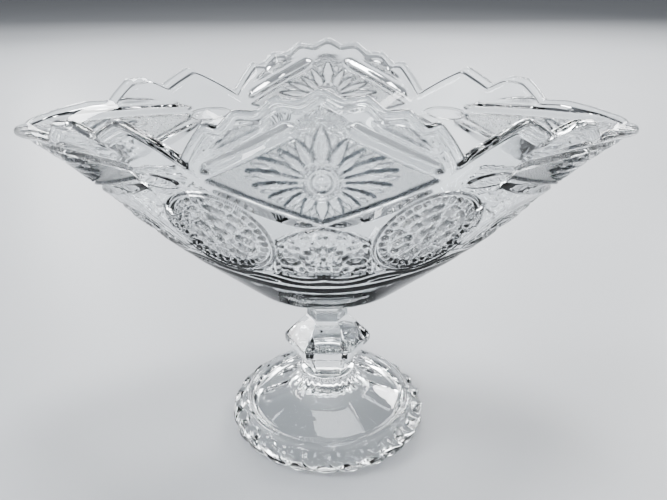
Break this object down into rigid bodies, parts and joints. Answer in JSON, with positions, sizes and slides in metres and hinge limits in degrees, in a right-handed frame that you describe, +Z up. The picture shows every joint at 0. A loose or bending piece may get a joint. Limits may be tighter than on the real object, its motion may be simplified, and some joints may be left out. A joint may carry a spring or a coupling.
{
  "type": "footed fruit bowl",
  "caption": "Boat-shaped pressed clear glass fruit bowl with a serrated, lobed rim, on a six-sided knopped stem and a round fluted foot.",
  "frame": {"origin": "centre of the plane that the foot rests on", "axes": "+Z up, +X along the bowl towards one of its low ends, +Y towards one of its high sides"},
  "size_m": [0.301, 0.166, 0.205],
  "materials": {
    "bowl_glass": "fire-polished",
    "stem_glass": "fire-polished",
    "foot_glass": "fire-polished",
    "clear_adhesive": "gloss"
  },
  "bodies": {
    "root": {"bowl": "bowl_glass", "bowl_bond": "clear_adhesive", "stem": "stem_glass", "foot_bond": "clear_adhesive", "foot": "foot_glass"}
  },
  "joints": []
}
